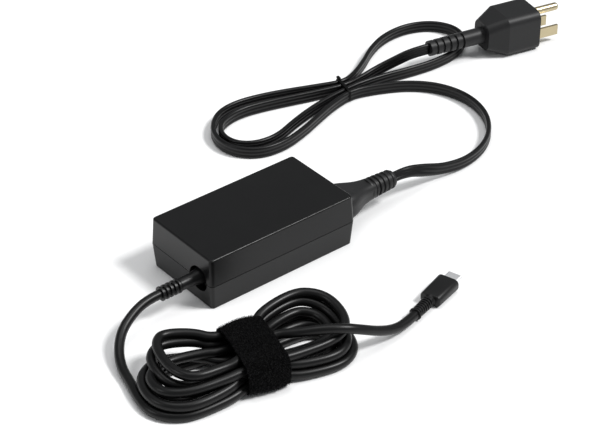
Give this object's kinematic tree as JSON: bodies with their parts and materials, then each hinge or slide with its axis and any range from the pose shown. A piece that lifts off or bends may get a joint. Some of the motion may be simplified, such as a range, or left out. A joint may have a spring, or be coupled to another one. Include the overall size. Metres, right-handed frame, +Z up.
{
  "type": "laptop power adapter",
  "caption": "Black switch-mode power adapter block with a hank of low-voltage cord ending in a USB-C plug and a detachable flat mains lead ending in a wall plug.",
  "frame": {"origin": "middle of the case's underside, on the surface it stands on", "axes": "+X along the case to the mains inlet end, the low-voltage cord leaves the -X end; +Z up"},
  "size_m": [0.3994, 0.2225, 0.0293],
  "materials": {
    "black_component": "moulded component body",
    "blade_brass": "nickel-plated brass",
    "bobbin_plastic": "phenolic bobbin",
    "boot_plastic": "soft moulded grip",
    "capacitor_can": "aluminium can",
    "capacitor_sleeve": "shrunk sleeve",
    "case_plastic": "fine-textured moulded plastic",
    "circuit_board": "glass-epoxy board with solder mask",
    "connector_plastic": "moulded connector body",
    "contact_gold": "gold-plated contacts",
    "copper_winding": "enamelled copper wire",
    "cord_jacket": "satin cord jacket",
    "disc_blue": "epoxy-dipped disc",
    "disc_green": "epoxy-dipped disc",
    "ferrite": "sintered ferrite",
    "film_yellow": "film capacitor case",
    "heat_plate": "rolled aluminium sheet",
    "inlet_plastic": "glass-filled plastic",
    "insulating_film": "polyester film",
    "label_film": "blank printed film",
    "plated_steel": "brushed nickel plating",
    "strap_fabric": "brushed hook-and-loop tape",
    "thermal_pad_grey": "silicone gap pad",
    "tie_plastic": "thin plastic tie"
  },
  "bodies": {
    "adapter": {"bottom_cover": "case_plastic", "bridge_rectifier": "black_component", "bulk_capacitor": "capacitor_sleeve", "choke_core": "ferrite", "choke_windings": "copper_winding", "control_board": "circuit_board", "dc_cord_hank": "cord_jacket", "dc_cord_lead": "cord_jacket", "dc_cord_tail": "cord_jacket", "dc_output_wires": "copper_winding", "dc_strain_relief": "boot_plastic", "feedback_optocoupler": "black_component", "hook_and_loop_strap": "strap_fabric", "inrush_thermistor": "disc_green", "lower_heat_spreader": "heat_plate", "lower_insulator": "insulating_film", "main_circuit_board": "circuit_board", "mains_fuse": "black_component", "mains_inlet_body": "inlet_plastic", "mains_inlet_earth_pin": "blade_brass", "mains_inlet_line_pins": "blade_brass", "output_capacitors": "capacitor_can", "power_delivery_chip": "black_component", "primary_heat_sink": "heat_plate", "rating_label": "label_film", "rectifier_transistor": "black_component", "switching_transistor": "black_component", "thermal_pad": "thermal_pad_grey", "top_cover": "case_plastic", "transformer_bobbin": "bobbin_plastic", "transformer_core_lower": "ferrite", "transformer_core_upper": "ferrite", "transformer_winding": "copper_winding", "upper_heat_spreader": "heat_plate", "upper_insulator": "insulating_film", "usb_plug_board": "circuit_board", "usb_plug_contacts": "contact_gold", "usb_plug_grip": "boot_plastic", "usb_plug_insert": "inlet_plastic", "usb_plug_shell": "plated_steel", "x_capacitor": "film_yellow", "y_capacitor": "disc_blue"},
    "mains_lead": {"cord_tie": "tie_plastic", "mains_connector": "connector_plastic", "mains_connector_sleeves": "plated_steel", "mains_cord_coil": "cord_jacket", "mains_cord_lead": "cord_jacket", "mains_cord_loop": "cord_jacket", "mains_cord_tail": "cord_jacket", "wall_plug_blades": "blade_brass", "wall_plug_body": "connector_plastic", "wall_plug_earth_pin": "blade_brass"}
  },
  "joints": [
    {"name": "mains_connector_slide", "type": "slide", "parent": "adapter", "child": "mains_lead", "axis": [1, 0, 0], "range_m": [0, 0.02]}
  ]
}
